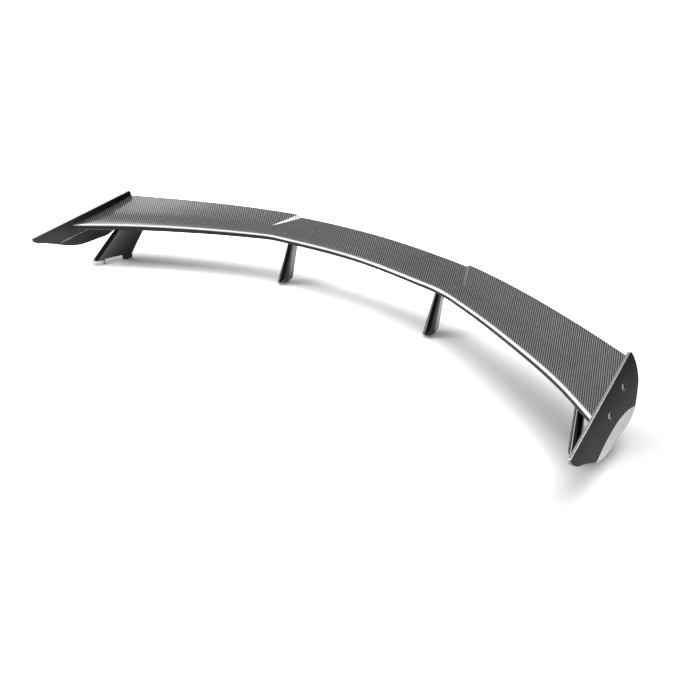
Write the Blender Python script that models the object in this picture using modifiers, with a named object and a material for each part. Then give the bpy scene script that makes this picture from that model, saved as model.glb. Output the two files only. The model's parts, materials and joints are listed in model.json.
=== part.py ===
# Racing rear wing: a hollow laminate blade on four struts, closed by two leaning end plates.
# Metres. +X runs along the span, +Y rearwards to the trailing edge, +Z up.
# The origin is on the plane of the outer studs' tips, under the middle of the outline.

import bmesh
import bpy
from math import cos, hypot, pi, radians, sin, sqrt
from mathutils import Matrix, Vector

# The blade's plan and attitude: (distance from the middle, value) along the nose and the trailing edge.
NOSE_Y = ((0, 0.1526), (0.2, 0.1356), (0.27, 0.1266), (0.34, 0.1006), (0.5, 0.0266), (0.66, -0.0604),
          (0.78, -0.1494))
NOSE_Z = ((0, 0.1275), (0.2, 0.127), (0.34, 0.1245), (0.5, 0.1215), (0.66, 0.1165), (0.78, 0.115))
TAIL_Y = ((0, 0.2636), (0.16, 0.2606), (0.26, 0.2516), (0.405, 0.2081), (0.604, 0.1251), (0.77, 0.0426))
TAIL_Z = ((0, 0.156), (0.16, 0.1525), (0.27, 0.1495), (0.4, 0.151), (0.78, 0.154))

# The blade's section: (signed root of the chord fraction, height over the chord line).
# It runs from the lower trailing edge, round the nose at 0, to the upper trailing edge.
PROFILE = (
    (-1.0, -0.0019), (-0.92, -0.0048), (-0.80, -0.0096), (-0.67, -0.0128), (-0.52, -0.0132), (-0.35, -0.0106),
    (-0.20, -0.0070), (0.0, 0.0), (0.11, 0.0045), (0.21, 0.0070), (0.35, 0.0079), (0.55, 0.0066),
    (0.74, 0.0042), (0.89, 0.0026), (1.0, 0.0019),
)
# How much deeper than that the belly is, along the span.
BELLY = ((0, 1.0), (0.25, 1.02), (0.40, 1.2), (0.52, 1.36), (0.66, 1.42), (0.78, 1.3))
SEAM_Q = -0.17              # where the two skins meet, just under the nose
SEAM_WIDTH = 0.015
SKIN = 0.0012               # laminate of the two skins
CORE_DEPTH = 0.0034         # how far the inner pieces lie below the outer surface
THIN_DEPTH = 0.0023         # the same for the spars and the thin tail cores
GAP = 0.0003                # between pieces that touch
END_GAP = 0.0010            # between the blade's end and the end plate
TOP_GAP = 0.0012            # between a strut's top and the curved skin over it

# The step in the blade's top: the outer panels rise behind a crease that fades out on the chord.
STEP_HEIGHT = 0.0070
STEP_START = 0.42           # chord fraction where the crease begins
STEP_TIP_X = 0.307
STEP_INNER_X = 0.260        # foot of the step at the trailing edge
STEP_OUTER_X = 0.275        # head of the step at the trailing edge
STEP_FRONT_HALF = 0.0015    # half width of the crease's faded front
STEP_POWER = 1.2

# Inner structure, as chord fractions and lengths.
FRONT_SPAR_U = 0.12
REAR_SPAR_U = 0.62
SPAR_WALL = 0.003
RIB_WALL = 0.006
BLOCK_HALF = 0.020          # half the span of a strut's hardpoint block
CENTRE_X = 0.237            # the centre struts' distance from the middle
OUTER_BLOCK_X = 0.690       # the outer hardpoints' distance from the middle

# End plates: a panel that leans out as it goes down, folded to near upright below the fold line.
PLATE_FACE_X = 0.8226       # outer face at y = 0, z = 0
PLATE_TOE = 0.03
PLATE_LEAN = 0.39
PLATE_TUCK = -0.06
PLATE_WALL = 0.007
PLATE_TOP = ((-0.2639, 0.1205), (0.0451, 0.1818))
PLATE_FRONT = ((-0.2639, 0.1205), (-0.2696, 0.1178), (-0.2689, 0.1128), (-0.2579, 0.107), (-0.2174, 0.0892),
               (-0.1814, 0.074))
PLATE_REAR = ((0.0451, 0.1818), (0.0508, 0.1807), (0.0536, 0.1755), (0.0598, 0.151), (0.0566, 0.128),
              (0.0366, 0.104), (0.0171, 0.088))
PLATE_FOLD = ((-0.1814, 0.074), (-0.1434, 0.0835), (-0.0984, 0.092), (-0.0534, 0.096), (-0.0134, 0.0942),
              (0.0171, 0.088))
PLATE_EDGE = ((-0.1774, 0.0705), (-0.1459, 0.0582), (-0.1199, 0.052), (-0.0929, 0.0506), (-0.0534, 0.0528),
              (-0.0139, 0.0558), (0.0066, 0.0665), (0.0156, 0.0815))
# Where the plate's screws enter: chord fraction, and fraction of the blade's thickness from its top.
PLATE_SCREWS = ((0.26, 0.62), (0.65, 0.52))

# Outer struts: swept blades, with a flat sole, a lower boss at the back and a threaded stud in each.
OUTER_NOSE = (0.7320, -0.1159)
OUTER_TOE = radians(18)
OUTER_LENGTH = 0.117        # along the sole
OUTER_TOP_LENGTH = 0.091
OUTER_WIDTH = 0.024
OUTER_TOP_WIDTH = 0.020
OUTER_LEAN = 0.345          # inboard per unit of height
OUTER_SWEEP = 0.845         # rearward per unit of height, at the nose
OUTER_SOLE_Z = 0.0185
OUTER_BOSS_Z = 0.0055
OUTER_TOP_Z = 0.112
OUTER_STUD_FRONT = 0.031    # from the nose, along the sole
OUTER_STUD_REAR = 0.099
OUTER_BOSS_LENGTH = 0.030
BOSS_WIDTH = 0.0173
BOSS_INSET = 0.002          # from the sole's ends to the boss and the front pad
FRONT_PAD_LENGTH = 0.036

# Centre struts: slim swept pylons on a flat round-ended foot.
CENTRE_NOSE_Y = 0.1221
CENTRE_FOOT_Z = 0.008       # the outer studs reach this much lower than the centre feet
CENTRE_TOP_Z = 0.118
CENTRE_LENGTH = 0.053
CENTRE_TOP_LENGTH = 0.037
CENTRE_WIDTH = 0.027
CENTRE_TOP_WIDTH = 0.016
CENTRE_SWEEP = 0.43
PAD = 0.002                 # rubber pads under the struts
PAD_INSET = 0.001           # how much smaller they are than the foot

# Fasteners.
STUD_RADIUS = 0.003
HOLE_RADIUS = 0.0033
MOUNT_STUD_UP = 0.0145      # how far a mounting stud reaches up into the outer strut
JOINT_STUD_DOWN = 0.012     # how far a joint stud reaches into the strut
JOINT_STUD_UP = 0.0125      # and up past the blade's underside
JOINT_Z = 0.108             # about where the joints are, and how far behind a strut's nose they sit there
OUTER_JOINTS = (0.024, 0.052)
CENTRE_JOINTS = (0.012, 0.028)
DISH_RADIUS = 0.009
DISH_WALL = 0.0012
SCREW_RADIUS = 0.0025
SCREW_HOLE = 0.0028
SCREW_LENGTH = 0.0125
INSERT_RADIUS = 0.0048
INSERT_HEIGHT = 0.014

TURN_STEPS = 12

# A strut's outline in plan, and the steps round its nose, flanks and tail.
TAIL_SHARE = 0.62           # the tail's width against the nose's
NOSE_STRETCH = 1.5          # the oval nose's length against half the width
TAIL_STRETCH = 1.2
NOSE_STEPS = 5
FLANK_STEPS = 4
TAIL_STEPS = 4
LOOP_POINTS = 2 * (NOSE_STEPS + FLANK_STEPS + TAIL_STEPS)


# Smooth curves through a few design points.

def slope_at(points, i, flat_start):
    last = len(points) - 1
    if i == 0 and flat_start:
        return 0.0
    if i in (0, last):
        a, b = points[max(i - 1, 0)], points[min(i + 1, last)]
        return (b[1] - a[1]) / (b[0] - a[0])
    before = points[i][0] - points[i - 1][0]
    after = points[i + 1][0] - points[i][0]
    rise = (points[i][1] - points[i - 1][1]) / before
    climb = (points[i + 1][1] - points[i][1]) / after
    return (after * rise + before * climb) / (before + after)


def through(points, x, flat_start=False):
    i = 0
    while i < len(points) - 2 and x > points[i + 1][0]:
        i += 1
    (x0, v0), (x1, v1) = points[i], points[i + 1]
    span = x1 - x0
    t = (x - x0) / span
    m0 = slope_at(points, i, flat_start) * span
    m1 = slope_at(points, i + 1, flat_start) * span
    rest = 1 - t
    return rest * rest * ((1 + 2 * t) * v0 + t * m0) + t * t * ((3 - 2 * t) * v1 - rest * m1)


def route(points, t):
    """A point at fraction t of a smooth plane curve through the points."""
    reach = [0.0]
    for a, b in zip(points, points[1:]):
        reach.append(reach[-1] + hypot(b[0] - a[0], b[1] - a[1]))
    place = t * reach[-1]
    first = [(r, p[0]) for r, p in zip(reach, points)]
    second = [(r, p[1]) for r, p in zip(reach, points)]
    return Vector((through(first, place), through(second, place)))


def clamp(value):
    return max(0.0, min(1.0, value))


def mix(a, b, t):
    return a + (b - a) * t


# The blade as a surface: x along the span, q round the section.

def crease_x(u):
    back = clamp((u - STEP_START) / (1 - STEP_START))
    inner = mix(STEP_TIP_X - STEP_FRONT_HALF, STEP_INNER_X, back)
    outer = mix(STEP_TIP_X + STEP_FRONT_HALF, STEP_OUTER_X, back)
    return inner, outer


def height(x, q):
    """The section's height over its chord line, with the belly scaled along the span."""
    return through(PROFILE, q) * (through(BELLY, x) if q < 0 else 1)


def section_point(x, q, depth=0.0):
    """The blade's point at span x, so far round the section, so deep under its surface."""
    nose = Vector((through(NOSE_Y, x, True), through(NOSE_Z, x, True)))
    tail = Vector((through(TAIL_Y, x, True), through(TAIL_Z, x, True)))
    chord = (tail - nose).length
    forward = (tail - nose) / chord
    upward = Vector((-forward.y, forward.x))
    tiny = 0.002
    here = Vector((chord * q * q, height(x, q)))
    ahead = Vector((chord * (q + tiny) ** 2, height(x, q + tiny)))
    behind = Vector((chord * (q - tiny) ** 2, height(x, q - tiny)))
    run = (ahead - behind).normalized()
    here -= depth * Vector((-run.y, run.x))
    place = nose + here.x * forward + here.y * upward
    u = q * q
    inner, outer = crease_x(u)
    raised = clamp((x - inner) / (outer - inner))
    ramp = clamp((u - STEP_START) / (1 - STEP_START)) ** STEP_POWER
    return Vector((x, place.x, place.y + STEP_HEIGHT * raised * ramp))


def plate_face_x(y, z):
    return PLATE_FACE_X - PLATE_TOE * y - PLATE_LEAN * z


def end_point(q, depth, back_off):
    """The blade's point where its section meets a plane inside the end plate."""
    slant = sqrt(1 + PLATE_TOE ** 2 + PLATE_LEAN ** 2)
    point = section_point(0.76, q, depth)
    for _ in range(6):
        x = plate_face_x(point.y, point.z) - (PLATE_WALL + back_off) * slant
        point = section_point(x, q, depth)
    return point


def underside_z(x, y):
    """Height of the blade's lower surface over a point of the plan."""
    low, high = -1.0, -0.05
    for _ in range(40):
        middle = (low + high) / 2
        if section_point(x, middle).y > y:
            low = middle
        else:
            high = middle
    return section_point(x, low).z


def blade_column(place, q):
    """Skin points by column: guide lines 1 to 5, with the crease between 2 and 3, and the end at 5."""
    inner, outer = crease_x(q * q)
    guides = (0.0, 0.20, inner, outer, 0.37, 0.62)
    last = len(guides) - 1
    i = min(int(place), last)
    if i < last:
        return section_point(mix(guides[i], guides[i + 1], place - i), q)
    end = end_point(q, 0.0, END_GAP)
    return section_point(mix(guides[last], end.x, place - last), q)


# Scene, materials and small builders.

def clear_scene():
    for item in list(bpy.data.objects):
        bpy.data.objects.remove(item, do_unlink=True)


def new_collection(name):
    collection = bpy.data.collections.new(name)
    bpy.context.scene.collection.children.link(collection)
    return collection


def paint(item, finish):
    colour, roughness, metallic = FINISHES[finish]
    material = bpy.data.materials.new(item.name)
    material.use_nodes = True
    shader = material.node_tree.nodes["Principled BSDF"]
    shader.inputs["Base Color"].default_value = (*colour, 1)
    shader.inputs["Roughness"].default_value = roughness
    shader.inputs["Metallic"].default_value = metallic
    item.data.materials.append(material)


FINISHES = {
    "carbon": ((0.10, 0.10, 0.105), 0.25, 0.2),
    "gloss_black": ((0.012, 0.012, 0.014), 0.12, 0.0),
    "foam": ((0.75, 0.70, 0.58), 0.9, 0.0),
    "aluminium": ((0.72, 0.73, 0.75), 0.4, 1.0),
    "steel": ((0.55, 0.56, 0.58), 0.3, 1.0),
    "black_steel": ((0.05, 0.05, 0.055), 0.35, 1.0),
    "rubber": ((0.03, 0.03, 0.03), 0.85, 0.0),
}


def add_part(name, mesh_data, finish, matrix=None):
    mesh = bpy.data.meshes.new(name)
    mesh_data.to_mesh(mesh)
    mesh_data.free()
    mesh.shade_smooth()
    mesh.set_sharp_from_angle(angle=radians(32))
    item = bpy.data.objects.new(name, mesh)
    if matrix is not None:
        item.matrix_world = matrix
    parts.objects.link(item)
    paint(item, finish)
    return item


def cap(shape, rim):
    """Closes a ring with a strip of faces across it, from its first point to the one opposite."""
    for k in range(len(rim) // 2):
        corners = (rim[k], rim[k + 1], rim[len(rim) - k - 1], rim[-k])
        shape.faces.new(list(dict.fromkeys(corners)))


def loft(rings):
    """A closed solid of flat facets through rings of equal count, capped at both ends."""
    shape = bmesh.new()
    rows = [[shape.verts.new(point) for point in ring] for ring in rings]
    count = len(rings[0])
    for low, high in zip(rows, rows[1:]):
        for k in range(count):
            after = (k + 1) % count
            shape.faces.new((low[k], low[after], high[after], high[k]))
    cap(shape, rows[0])
    cap(shape, rows[-1])
    bmesh.ops.recalc_face_normals(shape, faces=shape.faces)
    bmesh.ops.triangulate(shape, faces=shape.faces)
    return shape


def shaped_grid(columns, rows, place):
    """A grid of the modelling tool's own, with each vertex moved to place(column, row)."""
    shape = bmesh.new()
    bmesh.ops.create_grid(shape, x_segments=columns, y_segments=rows, size=0.5)
    for vertex in shape.verts:
        i = round((vertex.co.x + 0.5) * columns)
        j = round((vertex.co.y + 0.5) * rows)
        vertex.co = place(i, j)
    return shape


def aim_normals(shape, direction):
    """Turns an open surface so that its faces point along direction on the whole."""
    shape.normal_update()
    total = Vector()
    for face in shape.faces:
        total += face.normal * face.calc_area()
    if total.dot(direction) < 0:
        bmesh.ops.reverse_faces(shape, faces=shape.faces)


def thicken(item, wall):
    solid = item.modifiers.new("wall", "SOLIDIFY")
    solid.thickness = wall
    solid.offset = -1
    solid.use_even_offset = True


def drill(item, holes):
    """Cuts holes, each a (matrix, radius at the start, radius at the end, length) along the matrix's +Z."""
    shape = bmesh.new()
    for matrix, start, end, length in holes:
        bmesh.ops.create_cone(shape, cap_ends=True, segments=TURN_STEPS, radius1=start, radius2=end,
                              depth=length, matrix=matrix @ Matrix.Translation((0, 0, length / 2)))
    cut(item, shape)


def cut(item, shape):
    mesh = bpy.data.meshes.new(item.name + "_cutter")
    shape.to_mesh(mesh)
    shape.free()
    cutter = bpy.data.objects.new(item.name + "_cutter", mesh)
    cutter.hide_render = True
    cutter.display_type = "WIRE"
    cutters.objects.link(cutter)
    boolean = item.modifiers.new("holes", "BOOLEAN")
    boolean.operation = "DIFFERENCE"
    boolean.solver = "EXACT"
    boolean.object = cutter


def turned(name, profile, finish, matrix):
    """A turned solid from (radius, height) points, down its outer side."""
    shape = bmesh.new()
    points = [shape.verts.new((radius, 0, height)) for radius, height in profile]
    closed = profile[0][0] > 0
    for a, b in zip(points, points[1:] + points[:1] if closed else points[1:]):
        shape.edges.new((a, b))
    item = add_part(name, shape, finish, matrix)
    screw = item.modifiers.new("turn", "SCREW")
    screw.angle = 2 * pi
    screw.steps = TURN_STEPS
    screw.render_steps = TURN_STEPS
    screw.use_merge_vertices = True
    screw.merge_threshold = 0.00005
    return item


def rod(name, top, bottom, radius, finish, chamfer=0.0006):
    """An upright stud with chamfered ends, between two heights over (x, y)."""
    length = top.z - bottom.z
    profile = [(0, length), (radius - chamfer, length), (radius, length - chamfer), (radius, chamfer),
               (radius - chamfer, 0), (0, 0)]
    return turned(name, profile, finish, Matrix.Translation(bottom))


def mirrored(point, side):
    return Vector((side * point.x, point.y, point.z))


# The blade.

UPPER_Q = (SEAM_Q, -0.09, 0.0, 0.08, 0.16, 0.26, 0.38, 0.52, sqrt(STEP_START), 0.74, 0.83, 0.915, 1.0)
LOWER_Q = (-1.0, -0.915, -0.83, -0.74, -sqrt(STEP_START), -0.52, -0.40, -0.28, SEAM_Q - SEAM_WIDTH)
HALF_COLUMNS = (0, 0.25, 0.5, 0.75, 1, 1.33, 1.67, 2, 3, 3.5, 4, 4.2, 4.4, 4.6, 4.8, 5, 5.33, 5.67, 6)


def make_skin(name, rows, up):
    columns = [-c for c in reversed(HALF_COLUMNS[1:])] + list(HALF_COLUMNS)

    def place(i, j):
        column = columns[i]
        side = -1 if column < 0 else 1
        return mirrored(blade_column(abs(column), rows[j]), side)

    shape = shaped_grid(len(columns) - 1, len(rows) - 1, place)
    aim_normals(shape, Vector((0, 0, up)))
    skin = add_part(name, shape, "carbon")
    thicken(skin, SKIN)
    return skin


def box_ring(x, u0, u1, side=1, depth=CORE_DEPTH, inner_rows=3):
    """The inner outline between two chord fractions: along the top, then back along the bottom."""
    steps = [sqrt(mix(u0, u1, k / (inner_rows - 1))) for k in range(inner_rows)]
    top = [blade_at(x, q, depth) for q in steps]
    bottom = [blade_at(x, -q, depth) for q in reversed(steps)]
    return [mirrored(point, side) for point in top + bottom]


def blade_at(x, q, depth):
    """x is a distance along the span, or a negative distance back from the end plate."""
    return section_point(x, q, depth) if x >= 0 else end_point(q, depth, -x)


def spar_ring(x, u, side):
    chord = (section_point(min(abs(x), 0.76), 1).yz - section_point(min(abs(x), 0.76), 0).yz).length
    return box_ring(x, u, u + SPAR_WALL / chord, side, THIN_DEPTH, 2)


def spread(low, high, count):
    return [mix(low, high, k / (count - 1)) for k in range(count)]


def whole_span(stations):
    return [(x, -1) for x in reversed(stations[1:])] + [(x, 1) for x in stations]


INNER_END = -(END_GAP + RIB_WALL + 2 * GAP)      # where spars and cores stop short of the end ribs


def make_spars():
    front = [0, 0.07, 0.14, 0.20, 0.25, 0.28, 0.31, 0.34, 0.39, 0.45, 0.52, 0.59, 0.66, 0.71, INNER_END]
    rings = [spar_ring(x, FRONT_SPAR_U, side) for x, side in whole_span(front)]
    add_part("front_spar", loft(rings), "carbon")
    inner, outer = crease_x(REAR_SPAR_U)
    rear = [0, 0.07, 0.14, 0.20, 0.25, inner, outer, 0.34, 0.39, 0.45, 0.52, 0.59, 0.66, 0.71, INNER_END]
    rings = [spar_ring(x, REAR_SPAR_U, side) for x, side in whole_span(rear)]
    add_part("rear_spar", loft(rings), "carbon")


def nose_ring(x, side):
    reach = sqrt(FRONT_SPAR_U - 0.012)
    return [mirrored(blade_at(x, q, CORE_DEPTH), side) for q in spread(-reach, reach, 7)]


def make_nose_core():
    stations = [0, 0.07, 0.14, 0.20, 0.25, 0.28, 0.31, 0.34, 0.39, 0.45, 0.52, 0.59, 0.66, 0.71, INNER_END]
    add_part("nose_core", loft([nose_ring(x, side) for x, side in whole_span(stations)]), "foam")


def make_bay(name, stations, u0, u1, finish, depth=CORE_DEPTH):
    """One inner block between the skins, through (span place, side) stations."""
    return add_part(name, loft([box_ring(x, u0, u1, side, depth) for x, side in stations]), finish)


def make_mid_bays():
    """Foam and hardpoint blocks between the two spars."""
    u0 = FRONT_SPAR_U + 0.045
    u1 = REAR_SPAR_U - 0.012
    step = BLOCK_HALF + GAP
    make_bay("core_centre", whole_span(spread(0, CENTRE_X - step, 4)), u0, u1, "foam")
    for side, hand in ((-1, "left"), (1, "right")):
        outer = spread(CENTRE_X + step, 0.30, 3) + spread(0.33, OUTER_BLOCK_X - step, 7)
        make_bay("core_outer_" + hand, [(x, side) for x in outer], u0, u1, "foam")
        tip = [OUTER_BLOCK_X + step, 0.72, INNER_END]
        make_bay("core_tip_" + hand, [(x, side) for x in tip], u0, u1, "foam")


def make_hardpoints():
    u0 = FRONT_SPAR_U + 0.045
    u1 = REAR_SPAR_U - 0.012
    for side, hand in ((-1, "left"), (1, "right")):
        for spot, centre, studs in (("centre", CENTRE_X, centre_studs()),
                                    ("outer", OUTER_BLOCK_X, outer_studs())):
            stations = [(x, side) for x in spread(centre - BLOCK_HALF, centre + BLOCK_HALF, 3)]
            block = make_bay("hardpoint_" + spot + "_" + hand, stations, u0, u1, "aluminium")
            drill(block, [stud_hole(place, side) for place in studs])


def make_tail_cores():
    u0 = REAR_SPAR_U + 0.045
    u1 = 0.86
    make_bay("tail_core_centre", whole_span(spread(0, 0.245, 4)), u0, u1, "foam", THIN_DEPTH)
    for side, hand in ((-1, "left"), (1, "right")):
        stations = spread(0.315, 0.70, 7) + [INNER_END]
        make_bay("tail_core_" + hand, [(x, side) for x in stations], u0, u1, "foam", THIN_DEPTH)


def make_ribs():
    for side, hand in ((-1, "left"), (1, "right")):
        near = -(END_GAP + GAP)
        far = -(END_GAP + RIB_WALL)
        rings = [box_ring(x, 0.05, 0.80, side, THIN_DEPTH, 6) for x in (far, near)]
        rib = add_part("end_rib_" + hand, loft(rings), "aluminium")
        drill(rib, [(frame, SCREW_HOLE, SCREW_HOLE, 0.04) for frame in inward_frames(side)])


# Joint studs between struts and hardpoints, as (x, y) places on the right-hand side.

def outer_studs():
    nose = outer_nose(JOINT_Z)
    along = Vector((-sin(OUTER_TOE), cos(OUTER_TOE)))
    return [nose + along * reach for reach in OUTER_JOINTS]


def centre_studs():
    nose = CENTRE_NOSE_Y + CENTRE_SWEEP * (JOINT_Z - CENTRE_FOOT_Z)
    return [Vector((CENTRE_X, nose + reach)) for reach in CENTRE_JOINTS]


def stud_hole(place, side):
    bottom = underside_z(place.x, place.y) - JOINT_STUD_DOWN - GAP
    matrix = Matrix.Translation((side * place.x, place.y, bottom))
    return matrix, HOLE_RADIUS, HOLE_RADIUS, JOINT_STUD_DOWN + JOINT_STUD_UP + 2 * GAP


def make_joint_studs():
    for side, hand in ((-1, "left"), (1, "right")):
        for spot, places in (("centre", centre_studs()), ("outer", outer_studs())):
            for place, end in zip(places, ("front", "rear")):
                surface = underside_z(place.x, place.y)
                top = Vector((side * place.x, place.y, surface + JOINT_STUD_UP))
                bottom = Vector((side * place.x, place.y, surface - JOINT_STUD_DOWN))
                rod("joint_stud_" + spot + "_" + end + "_" + hand, top, bottom, STUD_RADIUS, "steel")


def make_blade():
    make_skin("upper_skin", UPPER_Q, 1)
    lower = make_skin("lower_skin", LOWER_Q, -1)
    drill(lower, [stud_hole(place, side) for side in (-1, 1) for place in centre_studs() + outer_studs()])
    make_spars()
    make_nose_core()
    make_mid_bays()
    make_hardpoints()
    make_tail_cores()
    make_ribs()
    make_joint_studs()


# End plates with their screws.

PLATE_COLUMNS = 16
PANEL_ROWS = 6
FACET_ROWS = 2


def panel_place(a, b):
    """The panel's (y, z) at fraction a from front to rear and b from the fold up to the top edge."""
    top, fold = route(PLATE_TOP, a), route(PLATE_FOLD, a)
    front, rear = route(PLATE_FRONT, 1 - b), route(PLATE_REAR, 1 - b)
    corners = (mix(mix(fold_end(0), fold_end(1), a), mix(Vector(PLATE_TOP[0]), Vector(PLATE_TOP[1]), a), b))
    return mix(fold, top, b) + mix(front, rear, a) - corners


def fold_end(a):
    return Vector(PLATE_FOLD[-1] if a else PLATE_FOLD[0])


def plate_point(a, row):
    if row >= FACET_ROWS:
        spot = panel_place(a, (row - FACET_ROWS) / PANEL_ROWS)
        return Vector((plate_face_x(spot.x, spot.y), spot.x, spot.y))
    fold, edge = route(PLATE_FOLD, a), route(PLATE_EDGE, a)
    spot = mix(edge, fold, row / FACET_ROWS)
    outward = plate_face_x(fold.x, fold.y) - PLATE_TUCK * (fold.y - spot.y)
    return Vector((outward, spot.x, spot.y))


def outward_frames(side):
    """Frames on the plate's outer face, one for each screw, with +Z pointing out of the face."""
    frames = []
    for u, drop in PLATE_SCREWS:
        upper, lower = end_point(sqrt(u), 0, 0), end_point(-sqrt(u), 0, 0)
        entry = mix(upper, lower, drop)
        spot = Vector((side * plate_face_x(entry.y, entry.z), entry.y, entry.z))
        normal = Vector((side, PLATE_TOE, PLATE_LEAN)).normalized()
        frames.append(Matrix.Translation(spot) @ normal.to_track_quat("Z", "Y").to_matrix().to_4x4())
    return frames


def inward_frames(side):
    flip = Matrix.Rotation(pi, 4, "X")
    return [frame @ flip for frame in outward_frames(side)]


def make_plate(side, hand):
    shape = shaped_grid(PLATE_COLUMNS, FACET_ROWS + PANEL_ROWS,
                        lambda i, j: mirrored(plate_point(i / PLATE_COLUMNS, j), side))
    aim_normals(shape, Vector((side, 0, 0)))
    plate = add_part("end_plate_" + hand, shape, "carbon")
    thicken(plate, PLATE_WALL)
    rounding = plate.modifiers.new("rounding", "BEVEL")
    rounding.width = 0.0024
    rounding.segments = 2
    rounding.limit_method = "ANGLE"
    rounding.angle_limit = radians(50)
    lift = 0.001
    tip = 0.0022
    sinks = [(frame @ Matrix.Translation((0, 0, -lift)), DISH_RADIUS + lift, tip, DISH_RADIUS + lift - tip)
             for frame in inward_frames(side)]
    drill(plate, sinks)
    drill(plate, [(frame, SCREW_HOLE, SCREW_HOLE, 0.02) for frame in inward_frames(side)])


def make_plate_screws(side, hand):
    outer = DISH_RADIUS - GAP
    inner = outer - DISH_WALL
    drop = 0.0044
    proud = 0.0003
    dish = [(inner + proud, proud), (outer + proud, proud), (outer - drop, -drop), (inner - drop, -drop)]
    head = inner - GAP
    sink = 0.0018
    root = head - SCREW_RADIUS
    screw = [(0, -sink), (head - sink, -sink), (SCREW_RADIUS, -root), (SCREW_RADIUS, 0.0006 - SCREW_LENGTH),
             (SCREW_RADIUS - 0.0006, -SCREW_LENGTH), (0, -SCREW_LENGTH)]
    for frame, end in zip(outward_frames(side), ("front", "rear")):
        turned("dished_washer_" + end + "_" + hand, dish, "black_steel", frame)
        item = turned("plate_screw_" + end + "_" + hand, screw, "steel", frame)
        socket = bmesh.new()
        bmesh.ops.create_cone(socket, cap_ends=True, segments=6, radius1=0.0023, radius2=0.0023, depth=0.003,
                              matrix=frame @ Matrix.Translation((0, 0, -sink - 0.0003)))
        cut(item, socket)


def make_end_plates():
    for side, hand in ((-1, "left"), (1, "right")):
        make_plate(side, hand)
        make_plate_screws(side, hand)


# Struts, their pads and studs.

def strut_outline(length, width):
    """A blade-shaped loop of (along, across) points: oval nose at 0, straight flanks, slim round tail."""
    half = width / 2
    tail = half * TAIL_SHARE
    nose_reach = half * NOSE_STRETCH
    tail_reach = tail * TAIL_STRETCH
    flank = []
    for k in range(NOSE_STEPS):
        turn = pi / 2 * k / NOSE_STEPS
        flank.append((nose_reach * (1 - cos(turn)), half * sin(turn)))
    for k in range(FLANK_STEPS):
        t = k / FLANK_STEPS
        flank.append((mix(nose_reach, length - tail_reach, t), mix(half, tail, t)))
    for k in range(TAIL_STEPS + 1):
        turn = pi / 2 * k / TAIL_STEPS
        flank.append((length - tail_reach * (1 - sin(turn)), tail * cos(turn)))
    return flank + [(along, -across) for along, across in reversed(flank[1:-1])]


def outer_nose(z):
    rise = z - OUTER_SOLE_Z
    return Vector((OUTER_NOSE[0] - OUTER_LEAN * rise, OUTER_NOSE[1] + OUTER_SWEEP * rise))


def outer_ring(z, side, length, width, from_nose=0.0):
    nose = outer_nose(z)
    along = Vector((-sin(OUTER_TOE), cos(OUTER_TOE)))
    across = Vector((cos(OUTER_TOE), sin(OUTER_TOE)))
    ring = []
    for a, b in strut_outline(length, width):
        spot = nose + along * (a + from_nose) + across * b
        ring.append(Vector((side * spot.x, spot.y, z)))
    return ring


def outer_place(z, loop_point):
    t = (z - OUTER_SOLE_Z) / (OUTER_TOP_Z - OUTER_SOLE_Z)
    length = mix(OUTER_LENGTH, OUTER_TOP_LENGTH, t)
    width = mix(OUTER_WIDTH, OUTER_TOP_WIDTH, t)
    return outer_ring(z, 1, length, width)[loop_point]


def centre_place(z, loop_point):
    t = (z - CENTRE_FOOT_Z) / (CENTRE_TOP_Z - CENTRE_FOOT_Z)
    length = mix(CENTRE_LENGTH, CENTRE_TOP_LENGTH, t)
    width = mix(CENTRE_WIDTH, CENTRE_TOP_WIDTH, t)
    a, b = strut_outline(length, width)[loop_point]
    return Vector((CENTRE_X + b, CENTRE_NOSE_Y + CENTRE_SWEEP * (z - CENTRE_FOOT_Z) + a, z))


def strut_rings(place, sole, side):
    """Rings from the flat sole up to a top that follows the blade's underside."""
    tops = []
    for k in range(LOOP_POINTS):
        z = JOINT_Z
        for _ in range(8):
            spot = place(z, k)
            z = underside_z(spot.x, spot.y) - TOP_GAP
        tops.append(z)
    rings = []
    for t in spread(0, 1, 5):
        rings.append([place(mix(sole, tops[k], t), k) for k in range(LOOP_POINTS)])
    rim = rings[-1]
    centre = sum(rim, Vector()) / LOOP_POINTS
    for shrink in (0.66, 0.33):
        inner = [mix(centre, point, shrink) for point in rim]
        for point in inner:
            point.z = underside_z(point.x, point.y) - TOP_GAP
        rings.append(inner)
    return [[mirrored(point, side) for point in ring] for ring in rings]


def outer_sole_spot(reach):
    along = Vector((-sin(OUTER_TOE), cos(OUTER_TOE)))
    return Vector(OUTER_NOSE) + along * reach


def outer_stud_spots():
    return ((outer_sole_spot(OUTER_STUD_FRONT), OUTER_SOLE_Z, "front"),
            (outer_sole_spot(OUTER_STUD_REAR), OUTER_BOSS_Z, "rear"))


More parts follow.
